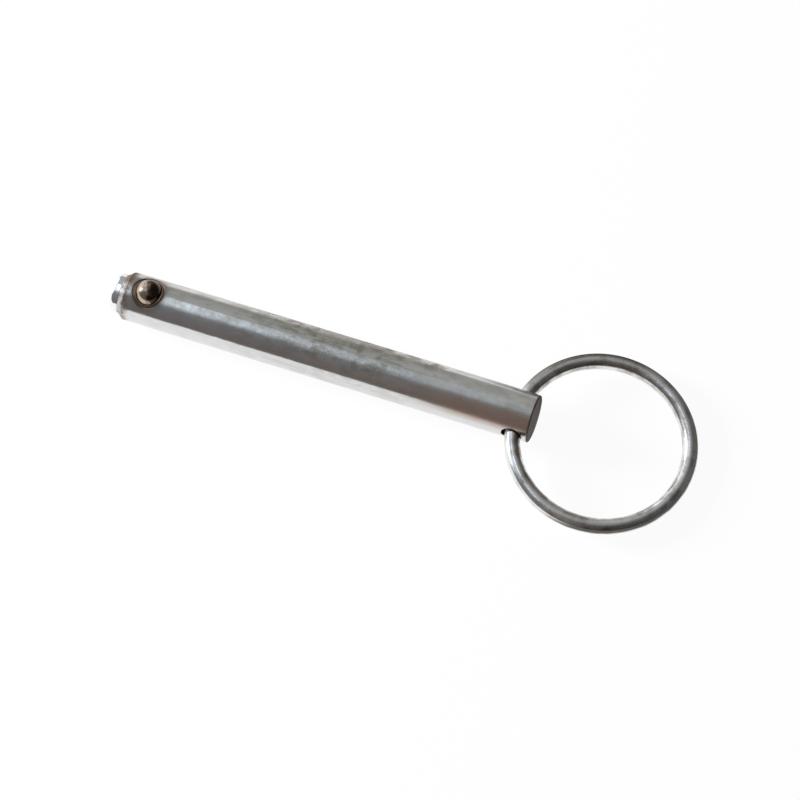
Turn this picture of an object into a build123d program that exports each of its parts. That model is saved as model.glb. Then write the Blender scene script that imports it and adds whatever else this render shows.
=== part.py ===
from build123d import *
import math
import os

# A detent ring pin, lying on its side. The frame's X axis is the shank's axis and points to the ring end,
# Y is the axis of the cross hole, and Z is up, through the ball. The origin is on the shank's axis, half way
# along the plain grip between the ball and the cross hole. The shank and the far side of the ring both rest
# on the plane z = -shank_radius.

# Shank, turned from round bar. The full diameter runs along the grip, and both ends fall away a little from it.
shank_diameter = 9.525
overall_length = 85.0
grip_margin = 0.3
nose_side_drop = 0.05
ring_side_drop = 0.12
end_rounding = 0.35

# Nose, a short pilot of smaller diameter with a sloping shoulder behind it
nose_diameter = 7.8
nose_length = 1.8
nose_rounding = 0.8
shoulder_length = 1.0
shoulder_rounding = 0.35

# Detent ball and the blind hole that holds it
ball_diameter = 5.159
tip_to_ball = 7.3
ball_proud = 1.8
pocket_clearance = 0.06
pocket_floor_z = -2.2
drill_point_angle = 118.0

# Groove that a ring punch left around the ball, which turns the lip in over it
groove_inner_radius = 2.8
groove_outer_radius = 3.3
groove_depth = 0.35
groove_corner = 0.2

# Spring under the ball, with closed end coils
spring_wire = 0.45
spring_mean_radius = 1.7
spring_active_turns = 3.0
spring_closed_turns = 1.0
spring_gap = 0.02

# Cross hole and pull ring
end_to_hole = 3.2
cross_hole_diameter = 4.0
hole_edge_break = 0.15
ring_outer_diameter = 36.6
ring_wire = 3.0
ring_seam = 0.12

# Worked out from the sizes above
shank_radius = shank_diameter / 2
nose_radius = nose_diameter / 2
ball_radius = ball_diameter / 2
ring_wire_radius = ring_wire / 2
grip_start = tip_to_ball + groove_outer_radius + grip_margin
grip_end = overall_length - end_to_hole - cross_hole_diameter / 2 - grip_margin
grip_length = grip_end - grip_start
tip_x = -(grip_start + grip_end) / 2
end_x = tip_x + overall_length
ball_x = tip_x + tip_to_ball
ball_z = shank_radius + ball_proud - ball_radius
hole_x = end_x - end_to_hole

os.makedirs("parts", exist_ok=True)


# Ball pocket: a drilled hole whose mouth is turned in over the ball
pocket_radius = ball_radius + pocket_clearance
drill_point_depth = pocket_radius / math.tan(math.radians(drill_point_angle / 2))
ball_axis = Axis((ball_x, 0, 0), (0, 0, 1))

with BuildPart() as pocket:
    with BuildSketch(Plane.XZ):
        with BuildLine():
            Polyline(
                (ball_x, ball_z + pocket_radius),
                (ball_x, pocket_floor_z - drill_point_depth),
                (ball_x + pocket_radius, pocket_floor_z),
                (ball_x + pocket_radius, ball_z),
            )
            CenterArc((ball_x, ball_z), pocket_radius, 0, 90)
        make_face()
    revolve(axis=ball_axis)

# Staking groove: a ring around the pocket whose floor follows the shank, with rounded corners
with BuildPart() as groove:
    with BuildSketch(Plane.XY.offset(ball_z - ball_radius)):
        with Locations((ball_x, 0)):
            Circle(groove_outer_radius)
            Circle(groove_inner_radius, mode=Mode.SUBTRACT)
    extrude(amount=shank_diameter)
    with BuildSketch(Plane.YZ.offset(ball_x)):
        Circle(shank_radius - groove_depth)
    extrude(amount=shank_diameter, both=True, mode=Mode.SUBTRACT)
    floor_edges = groove.edges().filter_by(GeomType.BSPLINE)
    fillet(floor_edges, radius=groove_corner)

# Shank: the turned outline, the cross hole, the ball pocket and the groove around it
corner_radii = (nose_rounding, shoulder_rounding, shoulder_rounding, 0, 0, end_rounding)

with BuildPart() as shank:
    with BuildSketch(Plane.XZ):
        with BuildLine():
            outline = FilletPolyline(
                (tip_x, 0),
                (tip_x, nose_radius),
                (tip_x + nose_length, nose_radius),
                (tip_x + nose_length + shoulder_length, shank_radius - nose_side_drop),
                (-grip_length / 2, shank_radius),
                (grip_length / 2, shank_radius),
                (end_x, shank_radius - ring_side_drop),
                (end_x, 0),
                radius=corner_radii,
            )
            Line(outline @ 1, outline @ 0)
        make_face()
    revolve(axis=Axis.X)
    with BuildSketch(Plane.XZ):
        with Locations((hole_x, 0)):
            Circle(cross_hole_diameter / 2)
    extrude(amount=shank_diameter, both=True, mode=Mode.SUBTRACT)
    chamfer(shank.edges().filter_by(GeomType.BSPLINE), length=hole_edge_break)
    add(groove.part, mode=Mode.SUBTRACT)
    add(pocket.part, mode=Mode.SUBTRACT)

# Detent ball, at rest against the turned-in lip
with BuildPart() as detent_ball:
    with Locations((ball_x, 0, ball_z)):
        Sphere(ball_radius)

# Spring: one helix whose pitch closes at both ends, from the drilled floor to the ball
spring_wire_radius = spring_wire / 2
seat_angle = math.radians(90 - drill_point_angle / 2)
seat_z = pocket_floor_z - (pocket_radius - spring_mean_radius) * math.tan(seat_angle)
spring_low_z = seat_z + (spring_wire_radius + spring_gap) / math.cos(seat_angle)
contact_drop = math.sqrt((ball_radius + spring_wire_radius + spring_gap) ** 2 - spring_mean_radius**2)
spring_high_z = ball_z - contact_drop
spring_turns = spring_active_turns + 2 * spring_closed_turns
closed_rise = spring_closed_turns * (spring_wire + spring_gap)
active_rise = spring_high_z - spring_low_z - 2 * closed_rise
points_per_turn = 16


def spring_height(turns):
    if turns <= spring_closed_turns:
        return turns * (spring_wire + spring_gap)
    if turns >= spring_turns - spring_closed_turns:
        left = spring_turns - turns
        return spring_high_z - spring_low_z - left * (spring_wire + spring_gap)
    return closed_rise + (turns - spring_closed_turns) / spring_active_turns * active_rise


def spring_point(step):
    turns = step / points_per_turn
    angle = 2 * math.pi * turns
    return (
        ball_x + spring_mean_radius * math.cos(angle),
        spring_mean_radius * math.sin(angle),
        spring_low_z + spring_height(turns),
    )


with BuildPart() as detent_spring:
    with BuildLine():
        spring_steps = round(spring_turns * points_per_turn)
        coil = Spline([spring_point(step) for step in range(spring_steps + 1)])
    with BuildSketch(Plane(origin=coil @ 0, z_dir=coil % 0)):
        Circle(spring_wire_radius)
    sweep(is_frenet=True)

# Pull ring: one wire bent to a circle, with its butted ends hidden inside the cross hole. It is centred in
# the hole and tilted down until its far side lies on the surface.
ring_radius = (ring_outer_diameter - ring_wire) / 2
ring_bow = ring_radius - math.sqrt(ring_radius**2 - shank_radius**2)
hole_to_centre = ring_radius - ring_bow / 2
ring_tilt = math.asin((shank_radius - ring_wire_radius) / (hole_to_centre + ring_radius))
ring_out = Vector(math.cos(ring_tilt), 0, -math.sin(ring_tilt))
ring_normal = Vector(math.sin(ring_tilt), 0, math.cos(ring_tilt))
ring_centre = Vector(hole_x, 0, 0) + ring_out * hole_to_centre
seam_half_angle = math.degrees(ring_seam / 2 / ring_radius)
seam_out = (ring_out * -1).rotate(Axis((0, 0, 0), tuple(ring_normal)), seam_half_angle)
seam_plane = Plane(origin=ring_centre, x_dir=seam_out, z_dir=seam_out.cross(ring_normal))

with BuildPart() as pull_ring:
    with BuildSketch(seam_plane):
        with Locations((ring_radius, 0)):
            Circle(ring_wire_radius)
    revolve(axis=Axis(ring_centre, ring_normal), revolution_arc=360 - 2 * seam_half_angle)

shank.part.label = "shank"
export_step(shank.part, "parts/shank.step")
detent_ball.part.label = "detent_ball"
export_step(detent_ball.part, "parts/detent_ball.step")
detent_spring.part.label = "detent_spring"
export_step(detent_spring.part, "parts/detent_spring.step")
pull_ring.part.label = "pull_ring"
export_step(pull_ring.part, "parts/pull_ring.step")
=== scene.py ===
import math

import bmesh
import bpy
from mathutils import Matrix, Vector


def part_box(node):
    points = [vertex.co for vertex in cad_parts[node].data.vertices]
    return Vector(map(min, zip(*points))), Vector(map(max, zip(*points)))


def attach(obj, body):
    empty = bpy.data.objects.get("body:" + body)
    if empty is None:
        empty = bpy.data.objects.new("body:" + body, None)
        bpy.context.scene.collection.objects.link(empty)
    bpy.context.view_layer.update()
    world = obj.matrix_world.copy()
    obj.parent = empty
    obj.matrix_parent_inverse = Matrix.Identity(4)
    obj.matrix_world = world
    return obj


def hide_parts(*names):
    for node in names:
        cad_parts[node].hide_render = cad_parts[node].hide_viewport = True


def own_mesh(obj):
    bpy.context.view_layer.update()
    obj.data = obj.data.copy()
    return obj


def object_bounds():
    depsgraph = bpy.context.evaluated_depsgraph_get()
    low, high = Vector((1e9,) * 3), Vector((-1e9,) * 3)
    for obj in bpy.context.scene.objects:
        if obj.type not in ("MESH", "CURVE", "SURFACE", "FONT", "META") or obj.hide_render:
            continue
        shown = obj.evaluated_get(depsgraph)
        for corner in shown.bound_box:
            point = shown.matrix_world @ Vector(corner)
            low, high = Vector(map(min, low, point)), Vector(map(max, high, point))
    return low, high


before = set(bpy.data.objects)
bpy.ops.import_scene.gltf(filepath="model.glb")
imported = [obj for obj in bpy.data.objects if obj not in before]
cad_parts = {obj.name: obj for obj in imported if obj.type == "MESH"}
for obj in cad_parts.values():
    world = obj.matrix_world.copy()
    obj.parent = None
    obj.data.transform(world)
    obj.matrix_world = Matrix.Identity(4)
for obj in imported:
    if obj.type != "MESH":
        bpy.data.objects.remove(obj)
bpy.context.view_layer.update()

# Shank
# One solid bar, turned from round steel and zinc plated. The plating is dullest half way along, and its near
# side has painted sheen. Brown stains lie round the staked ball, along the far side nearer the ring, and on
# the ring end's face, and a warm brown tint lies along the near side nearer the ring.
MM = 0.001
RELIEF_DEPTH = 0.05 * MM
shank_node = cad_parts["shank"]
shank_low, shank_high = (Vector(corner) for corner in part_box("shank"))
ball_low, ball_high = (Vector(corner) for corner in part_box("detent_ball"))
ball_centre = (ball_low + ball_high) / 2


def paint(code):
    """The linear colour of an sRGB hex value."""
    channels = [int(code[i:i + 2], 16) / 255 for i in (1, 3, 5)]
    return [c / 12.92 if c <= 0.04045 else ((c + 0.055) / 1.055) ** 2.4 for c in channels] + [1.0]


def add_node(tree, kind, settings=None, inputs=None):
    """Adds a node, gives it its settings, and sets or links its inputs."""
    node = tree.nodes.new(kind)
    for name, value in (settings or {}).items():
        setattr(node, name, value)
    for name, value in (inputs or {}).items():
        socket = next(s for i, s in enumerate(node.inputs) if s.enabled and name in (s.name, i))
        if isinstance(value, bpy.types.Node):
            value = next(s for s in value.outputs if s.enabled)
        if isinstance(value, bpy.types.NodeSocket):
            tree.links.new(value, socket)
        else:
            socket.default_value = value
    return node


def new_material(name):
    """An empty node material with its output node."""
    material = bpy.data.materials.new(name)
    material.use_nodes = True
    material.node_tree.nodes.clear()
    tree = material.node_tree
    return material, tree, add_node(tree, "ShaderNodeOutputMaterial")


def region(tree, *limits):
    """A share that fades at each limit, and is the product of those fades.

    A limit is a value and the two numbers between which it fades, smoothly and from 0 to 1. Two more
    numbers in it are the shares at its start and end, instead of 0 and 1.
    """
    share = None
    for value, start, end, *levels in limits:
        low, high = levels or (0.0, 1.0)
        fade = add_node(tree, "ShaderNodeMapRange", {"interpolation_type": "SMOOTHSTEP"}, {
            "Value": value, "From Min": start, "From Max": end, "To Min": low, "To Max": high})
        if share is not None:
            fade = add_node(tree, "ShaderNodeMath", {"operation": "MULTIPLY"}, {0: share, 1: fade})
        share = fade
    return share


def weighed_sum(tree, *parts, start=0.0):
    """The start value and several others added up, each times its weight."""
    for value, weight in parts:
        start = add_node(tree, "ShaderNodeMath", {"operation": "MULTIPLY_ADD"}, {
            0: value, 1: weight, 2: start})
    return start


def strongest(tree, *parts):
    """The largest of several values that are 0 or more, each times its weight."""
    result = 0.0
    for value, weight in parts:
        weighed = add_node(tree, "ShaderNodeMath", {"operation": "MULTIPLY"}, {0: value, 1: weight})
        result = add_node(tree, "ShaderNodeMath", {"operation": "MAXIMUM"}, {0: weighed, 1: result})
    return result


def coated(tree, base, *coats):
    """A colour with others laid over it in turn. Each coat is its share, from 0 to 1, and its colour."""
    for share, colour in coats:
        base = add_node(tree, "ShaderNodeMix", {"data_type": "RGBA"}, {
            "Factor": share, "A": base, "B": colour})
    return base


def mottle(tree, place, size, detail, rough):
    """An uneven pattern from 0 to 1 on a place in mm. The size is that of its spots, in mm on each axis."""
    spread = add_node(tree, "ShaderNodeMapping", {"vector_type": "TEXTURE"}, {"Vector": place, "Scale": size})
    return add_node(tree, "ShaderNodeTexNoise", None, {
        "Vector": spread, "Scale": 1.0, "Detail": detail, "Roughness": rough}).outputs[0]


def zinc_plated_steel():
    """Gives the eye a bright turned bar, patchy and dullest half way along, with painted sheen on its near
    side and brown stains.
    """
    material, tree, output = new_material("zinc_plated_turned_steel")
    clean_nose, clean_bar, dull_zinc = paint("#F6F8FA"), paint("#E2E3E3"), paint("#A3A19A")
    near_tint, stain_tint, rust_tint = paint("#B08E7C"), paint("#857161"), paint("#7C6250")
    end_brown, end_dark_brown = paint("#5A4940"), paint("#3F332D")

    # From here on every place is in mm, on the frame's own axes.
    place = add_node(tree, "ShaderNodeMapping", None, {
        "Vector": add_node(tree, "ShaderNodeTexCoord").outputs["Object"], "Scale": (1 / MM,) * 3})
    x, y, z = add_node(tree, "ShaderNodeSeparateXYZ", None, {"Vector": place}).outputs
    tip_x, end_x, ball_x = shank_low.x / MM, shank_high.x / MM, ball_centre.x / MM
    past_nose = (x, tip_x + 1.5, tip_x + 3.5)

    # The plating is patchy on top of the bar and clean on the nose, and its duller grey thins out on the near
    # side:
    # that is painted sheen, which keeps the card mirrored there bright. Real turning marks and scratches are
    # finer than the picture can hold, so they are drawn 0.5 to 0.7 mm wide.
    patches = mottle(tree, place, (3.333, 2.0, 2.0), 5.0, 0.65)
    scratches = mottle(tree, place, (10.0, 0.667, 0.667), 3.0, 0.6)
    turning = mottle(tree, place, (0.5, 10.0, 10.0), 3.0, 0.6)
    rubbed = region(tree, (weighed_sum(tree, (patches, 0.7), (scratches, 0.3)), 0.38, 0.6))
    on_bar = region(tree, past_nose)
    # The y limit thins the duller grey on the near side: painted sheen.
    dull_wear_and_near_sheen = region(tree, (x, -26.0, -4.0, 0.5, 1.0), (x, 8.0, 22.0, 1.0, 0.4), (rubbed, 1.0, 0.0, 0.35, 1.0),
                  (y, -3.2, -1.6, 0.35, 1.0), past_nose)
    zinc = coated(tree, clean_nose, (on_bar, clean_bar), (dull_wear_and_near_sheen, dull_zinc))

    # Brown stains gather round the ball and over the shoulder, as rust along the far side, and on the ring
    # end's face. A smooth warm brown tint lies along the near side by the ring.
    plan = add_node(tree, "ShaderNodeCombineXYZ", None, {"X": x, "Y": y, "Z": 0.0})
    off_ball = add_node(tree, "ShaderNodeVectorMath", {"operation": "DISTANCE"}, {
        0: plan, 1: (ball_x, 0.0, 0.0)}).outputs["Value"]
    round_ball = region(tree, (off_ball, 4.4, 2.6), (z, 1.0, 2.5))
    spots = region(tree, (mottle(tree, place, (1.25, 1.25, 1.25), 4.0, 0.6), 0.4, 0.62))
    on_shoulder = ((x, tip_x + 1.4, tip_x + 2.0), (x, tip_x + 4.6, tip_x + 3.0))
    shoulder_far_side = region(tree, *on_shoulder, (y, -0.8, 1.2))
    shoulder_spots = region(tree, *on_shoulder, (spots, 0.0, 1.0, 0.35, 0.9))
    stain = strongest(tree, (round_ball, 1.0), (shoulder_far_side, 1.0), (shoulder_spots, 1.0))
    flecks = mottle(tree, place, (2.857, 2.0, 2.0), 5.0, 0.65)
    rust = region(tree, (y, 0.8, 2.6), (x, -26.0, 10.0, 0.25, 1.0), (x, 26.0, 20.0),
                  (flecks, 0.38, 0.68, 0.0, 0.7))
    near_side = region(tree, (y, -1.2, -2.4), (z, 0.5, 2.5), (x, 10.0, 28.0))
    end_face = region(tree, (x, end_x - 0.4, end_x - 0.1))
    colour = coated(tree, zinc, (weighed_sum(tree, (near_side, 0.7)), near_tint), (stain, stain_tint),
                    (rust, rust_tint), (end_face, coated(tree, end_brown, (spots, end_dark_brown))))

    # The bar isn't quite even under the plating. A brown crust takes the shine off the metal, and the far
    # rim and the step behind the nose are rougher than the rest.
    waves = mottle(tree, place, (4.0, 2.5, 2.5), 2.0, 0.5)
    height = weighed_sum(tree, (waves, 1.0), (turning, 0.12), (scratches, 0.15))
    relief = add_node(tree, "ShaderNodeBump", None, {
        "Height": height, "Distance": RELIEF_DEPTH, "Strength": 1.0})
    crust = strongest(tree, (stain, 0.3), (rust, 0.6), (near_side, 0.25), (end_face, 1.0))
    far_rim = region(tree, (y, 1.8, 3.6), past_nose)
    step = region(tree, (x, tip_x + 1.5, tip_x + 1.9), (x, tip_x + 3.6, tip_x + 3.0))
    rougher = strongest(tree, (far_rim, 0.14), (step, 0.3))
    roughness = weighed_sum(tree, (on_bar, 0.05), (crust, 0.5), (rougher, 1.0),
                            start=region(tree, (dull_wear_and_near_sheen, 0.0, 1.0, 0.08, 0.25)))
    steel = add_node(tree, "ShaderNodeBsdfPrincipled", None, {
        "Base Color": colour, "Metallic": region(tree, (crust, 0.0, 1.0, 1.0, 0.1)),
        "Roughness": roughness, "Normal": relief})
    tree.links.new(steel.outputs[0], output.inputs["Surface"])
    return material


shank_node.data.materials[0] = zinc_plated_steel()

# Detent ball
# A hardened and polished steel ball, held in the shank by the lip that is turned in over it. It is
# stained brown like the metal round it, and has painted shade towards the ring and the far side.
ball_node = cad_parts["detent_ball"]


def polished_steel():
    """Gives the eye a mirror-like ball, brown-stained in patches, with painted shade towards the ring and far
    side.
    """
    material, tree, output = new_material("polished_bearing_steel")
    place = add_node(tree, "ShaderNodeMapping", {"vector_type": "TEXTURE"}, {
        "Vector": add_node(tree, "ShaderNodeTexCoord").outputs["Object"], "Location": ball_centre,
        "Scale": (MM,) * 3})
    x, y = add_node(tree, "ShaderNodeSeparateXYZ", None, {"Vector": place}).outputs[:2]
    cloud = mottle(tree, place, (1.429, 1.429, 1.429), 4.0, 0.6)
    # Patches of brown stain, and painted shade: the x and y terms make the patches grow towards the ring and
    # far side.
    brown_film_and_side_shade = region(tree, (weighed_sum(tree, (cloud, 1.0), (x, 0.16), (y, 0.08)), 0.32, 0.6))
    steel = add_node(tree, "ShaderNodeBsdfPrincipled", None, {
        "Base Color": coated(tree, paint("#C2AF9D"), (brown_film_and_side_shade, paint("#4A3A30"))), "Metallic": 1.0,
        "Roughness": region(tree, (brown_film_and_side_shade, 0.0, 1.0, 0.16, 0.26))})
    tree.links.new(steel.outputs[0], output.inputs["Surface"])
    return material


ball_node.data.materials[0] = polished_steel()

# Pull ring
# One length of drawn steel wire, plated and bent to a ring. Its two ends butt inside the cross hole, which
# holds it. It is tarnished in patches, and has painted shade on the outside of its far half, near the shank.
RING_WIRE_RADIUS = 1.5 * MM
ring_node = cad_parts["pull_ring"]
ring_low, ring_high = (Vector(corner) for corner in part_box("pull_ring"))
ring_centre = (ring_low + ring_high) / 2
ring_drop = ring_high.z - ring_low.z - 2 * RING_WIRE_RADIUS
ring_span = ring_high.y - ring_low.y - 2 * RING_WIRE_RADIUS
ring_tilt = math.asin(ring_drop / ring_span)


def plated_wire(name, centre, turn):
    """Gives the eye drawn wire: soft lines along it, dark tarnish in patches, and painted shade outside its
    far half.
    """
    material, tree, output = new_material(name)
    place = add_node(tree, "ShaderNodeMapping", {"vector_type": "TEXTURE"}, {
        "Vector": add_node(tree, "ShaderNodeTexCoord").outputs["Object"], "Location": centre,
        "Rotation": turn, "Scale": (MM,) * 3})
    x, y, z = add_node(tree, "ShaderNodeSeparateXYZ", None, {"Vector": place}).outputs
    plan = add_node(tree, "ShaderNodeCombineXYZ", None, {"X": x, "Y": y, "Z": 0.0})
    radius = add_node(tree, "ShaderNodeVectorMath", {"operation": "LENGTH"}, {0: plan}).outputs["Value"]

    # The drawing lines keep their place in the wire's section all the way round. Real ones are finer than
    # the picture can hold, so they are drawn about 0.7 mm wide.
    section = add_node(tree, "ShaderNodeCombineXYZ", None, {"X": radius, "Y": z, "Z": 0.0})
    lines = mottle(tree, section, (0.667, 0.667, 1.0), 3.0, 0.6)
    patches = mottle(tree, place, (3.333, 3.333, 1.667), 5.0, 0.65)
    tarnish = region(tree, (weighed_sum(tree, (lines, 0.5), (patches, 0.5)), 0.45, 0.62))

    # The painted shade lies more than 16.6 mm from the centre, so the small spring has none.
    outer_rim_painted_shade = region(tree, (y, 2.0, 8.0), (x, 8.0, -2.0), (radius, 16.6, 17.6, 0.0, 0.9))
    relief = add_node(tree, "ShaderNodeBump", None, {
        "Height": patches, "Distance": RELIEF_DEPTH, "Strength": 1.0})
    steel = add_node(tree, "ShaderNodeBsdfPrincipled", None, {
        "Base Color": coated(tree, paint("#F0F0EF"), (tarnish, paint("#A39A90")), (outer_rim_painted_shade, paint("#756D65"))),
        "Metallic": 1.0, "Roughness": region(tree, (tarnish, 0.0, 1.0, 0.2, 0.32)), "Normal": relief})
    tree.links.new(steel.outputs[0], output.inputs["Surface"])
    return material


ring_node.data.materials[0] = plated_wire("plated_drawn_wire", ring_centre, (0, ring_tilt, 0))

# Spring
# A compression spring, wound from hard-drawn steel wire with a closed coil at each end. It stands on the
# floor of the blind hole and pushes the ball against the lip. Here it gets a rounder wire, in the same box.
SPRING_WIRE_RADIUS = 0.225 * MM
SPRING_MEAN_RADIUS = 1.7 * MM
CLOSED_TURNS = 1
ACTIVE_TURNS = 3
CLOSED_TURN_RISE = 0.47 * MM
STEPS_PER_TURN = 32
WIRE_FACETS = 16
spring_low, spring_high = (Vector(corner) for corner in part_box("detent_spring"))
spring_bottom = Vector((ball_centre.x, 0, spring_low.z))
spring_length = spring_high.z - spring_low.z
closed_rise = CLOSED_TURNS * CLOSED_TURN_RISE
active_rise = spring_length - 2 * SPRING_WIRE_RADIUS - 2 * closed_rise

shape = bmesh.new()
first_coil = Matrix.Translation(spring_bottom + Vector((SPRING_MEAN_RADIUS, 0, SPRING_WIRE_RADIUS)))
wire_end = bmesh.ops.create_circle(
    shape, cap_ends=True, segments=WIRE_FACETS, radius=SPRING_WIRE_RADIUS,
    matrix=first_coil @ Matrix.Rotation(math.pi / 2, 4, "X"))
sides = list(wire_end["verts"][0].link_faces[0].edges)
for turns, rise in ((CLOSED_TURNS, closed_rise), (ACTIVE_TURNS, active_rise), (CLOSED_TURNS, closed_rise)):
    steps = round(turns * STEPS_PER_TURN)
    wound = bmesh.ops.spin(
        shape, geom=sides, cent=spring_bottom, axis=(0, 0, 1), dvec=(0, 0, rise / steps),
        angle=turns * math.tau, steps=steps)
    sides = [part for part in wound["geom_last"] if isinstance(part, bmesh.types.BMEdge)]
bmesh.ops.edgeloop_fill(shape, edges=sides)
bmesh.ops.recalc_face_normals(shape, faces=shape.faces)
for face in shape.faces:
    face.smooth = len(face.verts) == 4
spring_mesh = bpy.data.meshes.new("spring")
shape.to_mesh(spring_mesh)
shape.free()
spring = bpy.data.objects.new("spring", spring_mesh)
bpy.context.scene.collection.objects.link(spring)
spring.data.materials.append(plated_wire("drawn_spring_wire", spring_bottom, (0, 0, 0)))
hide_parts("detent_spring")
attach(spring, "pin")
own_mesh(spring)

# Floor
# A sheet of matt white card, on which the shank and the far side of the ring lie. It is only the stage,
# and it keeps their faint shadow.
FLOOR_SIZE = 4.0
floor_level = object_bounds()[0][2]


def white_card():
    """Gives the eye plain white. The metal mirrors it white, with painted shadow past the ring and painted
    shade near the viewer.
    """
    material, tree, output = new_material("matt_white_card")
    place = add_node(tree, "ShaderNodeTexCoord").outputs["Object"]
    x, y = add_node(tree, "ShaderNodeSeparateXYZ", None, {"Vector": place}).outputs[:2]
    off_ring = add_node(tree, "ShaderNodeVectorMath", {"operation": "DISTANCE"}, {
        0: place, 1: (ring_centre.x, 0, floor_level)}).outputs["Value"]
    rays = add_node(tree, "ShaderNodeLightPath")
    seen, mirrored = rays.outputs["Is Camera Ray"], rays.outputs["Is Glossy Ray"]

    # What the metal mirrors has painted shade: a painted shadow off the ring's end and far side, and painted
    # shade towards the viewer.
    past_ring = (off_ring, 18.5 * MM, 21.5 * MM)
    far_corner = region(tree, past_ring, (y, 12 * MM, 20 * MM), (x, 20 * MM, 34 * MM))
    ring_end = region(tree, past_ring, (x, 40 * MM, 54 * MM))
    near_edge = region(tree, (weighed_sum(tree, (y, 1.0), (x, -0.4)), -50 * MM, -100 * MM))
    dark = strongest(tree, (far_corner, mirrored), (ring_end, mirrored), (near_edge, mirrored))
    card = add_node(tree, "ShaderNodeBsdfDiffuse", None, {"Color": paint("#F4F4F3")})
    # The glow is painted dark where that shade lies, for mirrored rays alone.
    glow = add_node(tree, "ShaderNodeEmission", None, {
        "Color": coated(tree, paint("#FFFFFF"), (dark, paint("#3C3734"))), "Strength": 1.02})
    share = strongest(tree, (seen, 0.92), (mirrored, 0.85))
    both = add_node(tree, "ShaderNodeMixShader", None, {0: share, 1: card, 2: glow})
    tree.links.new(both.outputs[0], output.inputs["Surface"])
    return material


shape = bmesh.new()
bmesh.ops.create_grid(shape, x_segments=1, y_segments=1, size=FLOOR_SIZE / 2)
bmesh.ops.translate(shape, verts=shape.verts, vec=(0, 0, floor_level))
floor_mesh = bpy.data.meshes.new("floor")
shape.to_mesh(floor_mesh)
shape.free()
floor = bpy.data.objects.new("floor", floor_mesh)
bpy.context.scene.collection.objects.link(floor)
floor.data.materials.append(white_card())

# Light
# The room is white to the eye, and one lamp beyond the nose lights the pin. The metal mirrors a pale window
# beyond the nose with that lamp in it, a dark side where the viewer stands, and a dark end past the ring.
LAMP_FROM = Vector((-0.927, 0.02, 0.364)).normalized()
KEY_FROM = Vector((-0.93, -0.05, 0.34)).normalized()
KEY_DISTANCE = 0.7
KEY_SIZE = 0.2
KEY_WATTS = 9.0
ROOM_STRENGTH = 0.25
WALL_ENDS = ("#746861", "#A2A19C")
WALL_STOPS = ((0.15, "#7B736E"), (0.33, "#828180"), (0.46, "#A4A6A8"), (0.7, "#B0B1B0"))

world = bpy.data.worlds.new("studio")
bpy.context.scene.world = world
world.use_nodes = True
tree = world.node_tree
tree.nodes.clear()

# Here x and y are parts of a direction, from -1 to 1: x towards the ring end, y away from the viewer.
direction = add_node(tree, "ShaderNodeTexCoord").outputs["Generated"]
x, y = add_node(tree, "ShaderNodeSeparateXYZ", None, {"Vector": direction}).outputs[:2]
room = add_node(tree, "ShaderNodeValToRGB", None, {"Fac": add_node(
    tree, "ShaderNodeMapRange", None, {"Value": y, "From Min": -1.0, "From Max": 1.0})})
wall_colours = room.color_ramp
for stop, code in zip(wall_colours.elements, WALL_ENDS):
    stop.color = paint(code)
for position, code in WALL_STOPS:
    stop = wall_colours.elements.new(position)
    stop.color = paint(code)

# The walls are bluer beyond the nose, and darker towards the ring end.
bluer = region(tree, (x, -0.16, -0.23), (y, 0.6, 0.2))
wall_tint = coated(tree, paint("#F2F2F2"), (bluer, paint("#E6F1FF")))
wall_strength = region(
    tree, (x, -0.22, -0.15, 1.15, 1.25), (x, -0.14, 0.1, 1.0, 0.6), (x, 0.0, 0.5, 1.0, 0.4))
for tone in (wall_tint, wall_strength):
    room = add_node(tree, "ShaderNodeMix", {"data_type": "RGBA", "blend_type": "MULTIPLY"}, {
        "Factor": 1.0, "A": room, "B": tone})

# The window is seen along the front half of the shank, and its wide end on the inside of the ring.
beyond_nose = ((x, -0.19, -0.255), (y, -0.4, 0.0))
wide_end = ((x, -0.35, -0.5), (y, 0.95, 0.75))
window = strongest(tree, (region(tree, *beyond_nose, (y, 0.5, 0.12)), 1.0),
                   (region(tree, *beyond_nose, *wide_end), 1.0))

# Three parts are brighter: the lamp, a narrow strip that is seen on the nose, and the window's wide end.
facing = add_node(tree, "ShaderNodeVectorMath", {"operation": "DOT_PRODUCT"}, {
    0: direction, 1: LAMP_FROM}).outputs["Value"]
lamp = region(tree, (facing, 0.915, 0.985, 1.0, 3.2))
nose_strip = region(tree, (x, -0.259, -0.266), (x, -0.38, -0.3), (y, -0.6, -0.2), (y, 0.5, 0.2))
ring_glow = region(tree, (y, 0.2, 0.45), *wide_end)
window_strength = weighed_sum(tree, (nose_strip, 1.2), (ring_glow, 0.5), start=1.0)

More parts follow.
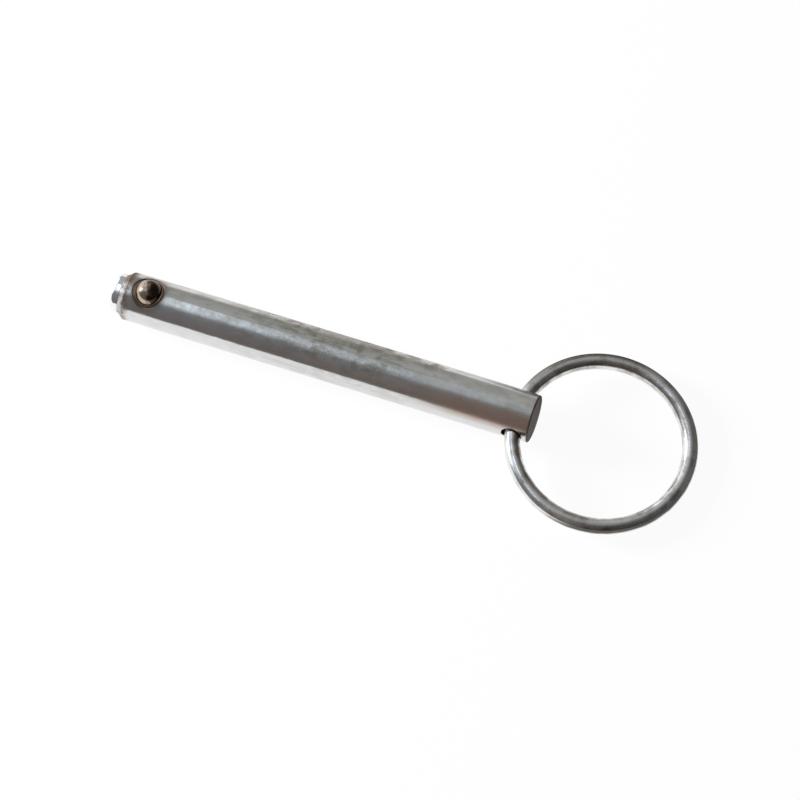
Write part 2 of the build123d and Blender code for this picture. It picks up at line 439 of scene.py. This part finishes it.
rays = add_node(tree, "ShaderNodeLightPath")
soft = add_node(tree, "ShaderNodeBackground", None, {"Color": paint("#FFFFFF"), "Strength": ROOM_STRENGTH})
mirrored = add_node(tree, "ShaderNodeBackground", None, {
    "Color": coated(tree, room, (window, paint("#DEE5ED"))),
    "Strength": strongest(tree, (lamp, 1.0), (window_strength, 1.0))})
white = add_node(tree, "ShaderNodeBackground", None, {"Color": paint("#FFFFFF"), "Strength": 1.0})
unseen = add_node(tree, "ShaderNodeMixShader", None, {0: rays.outputs["Is Glossy Ray"], 1: soft, 2: mirrored})
seen = add_node(tree, "ShaderNodeMixShader", None, {0: rays.outputs["Is Camera Ray"], 1: unseen, 2: white})
tree.links.new(seen.outputs[0], add_node(tree, "ShaderNodeOutputWorld").inputs["Surface"])

# The lamp's light. The metal doesn't mirror it, because the world holds the lamp that it mirrors, about
# 4 degrees off, where the photograph has the shine.
key_data = bpy.data.lights.new("key", "AREA")
key_data.shape = "RECTANGLE"
key_data.size = KEY_SIZE
key_data.size_y = KEY_SIZE
key_data.energy = KEY_WATTS
key = bpy.data.objects.new("key", key_data)
bpy.context.scene.collection.objects.link(key)
key.visible_glossy = False
key.location = KEY_FROM * KEY_DISTANCE
key.rotation_mode = "QUATERNION"
key.rotation_quaternion = KEY_FROM.to_track_quat("Z", "Y")

# Camera
# It looks down on the pin from its near side and a little from its ring end, through a long lens, as the
# photograph was taken. The roll sets the pin at the photograph's slant.
CAMERA_AZIMUTH = math.radians(24.571)
CAMERA_ELEVATION = math.radians(64.648)
CAMERA_ROLL = math.radians(-5.452)
CAMERA_DISTANCE = 0.66126
CAMERA_LENS = 157.5
CAMERA_AIM = Vector((0.014404, -0.004296, 0))
CAMERA_NEAREST = 0.01
CAMERA_FURTHEST = 10
camera_data = bpy.data.cameras.new("camera")
camera_data.lens = CAMERA_LENS
camera_data.clip_start = CAMERA_NEAREST
camera_data.clip_end = CAMERA_FURTHEST
camera = bpy.data.objects.new("camera", camera_data)
bpy.context.scene.collection.objects.link(camera)
back = Vector((math.sin(CAMERA_AZIMUTH) * math.cos(CAMERA_ELEVATION),
               -math.cos(CAMERA_AZIMUTH) * math.cos(CAMERA_ELEVATION),
               math.sin(CAMERA_ELEVATION)))
turn = back.to_track_quat("Z", "Y").to_matrix().to_4x4() @ Matrix.Rotation(CAMERA_ROLL, 4, "Z")
camera.matrix_world = Matrix.Translation(CAMERA_AIM + CAMERA_DISTANCE * back) @ turn
bpy.context.scene.camera = camera
bpy.context.scene.view_settings.view_transform = "Standard"
